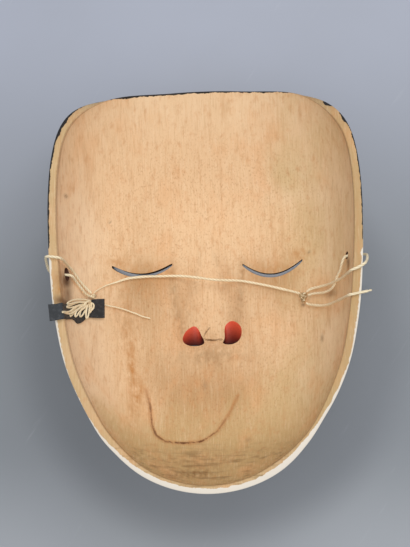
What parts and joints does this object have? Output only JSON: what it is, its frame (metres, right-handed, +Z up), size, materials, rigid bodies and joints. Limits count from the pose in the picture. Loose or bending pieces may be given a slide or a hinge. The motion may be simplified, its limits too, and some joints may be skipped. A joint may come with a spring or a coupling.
{
  "type": "carved wooden mask",
  "caption": "Hollow carved and painted wooden face mask lying face down, with twine ties looped through side holes.",
  "frame": {"origin": "middle of the mask shell's footprint on the surface it lies on, face down", "axes": "+Z up out of the hollow, +Y to the forehead, +X to the right as one looks into the hollow"},
  "size_m": [0.1486, 0.1874, 0.0876],
  "materials": {
    "painted_wood": "bare inside, painted face",
    "twine": "natural fibre",
    "black_rubber": "matte"
  },
  "bodies": {
    "root": {"mask_shell": "painted_wood", "tie_cord": "twine", "left_loop": "twine", "right_loop": "twine", "right_tail": "twine", "left_tail": "twine", "left_knot": "twine", "right_knot": "twine", "string_wad": "twine", "black_strip": "black_rubber"}
  },
  "joints": []
}
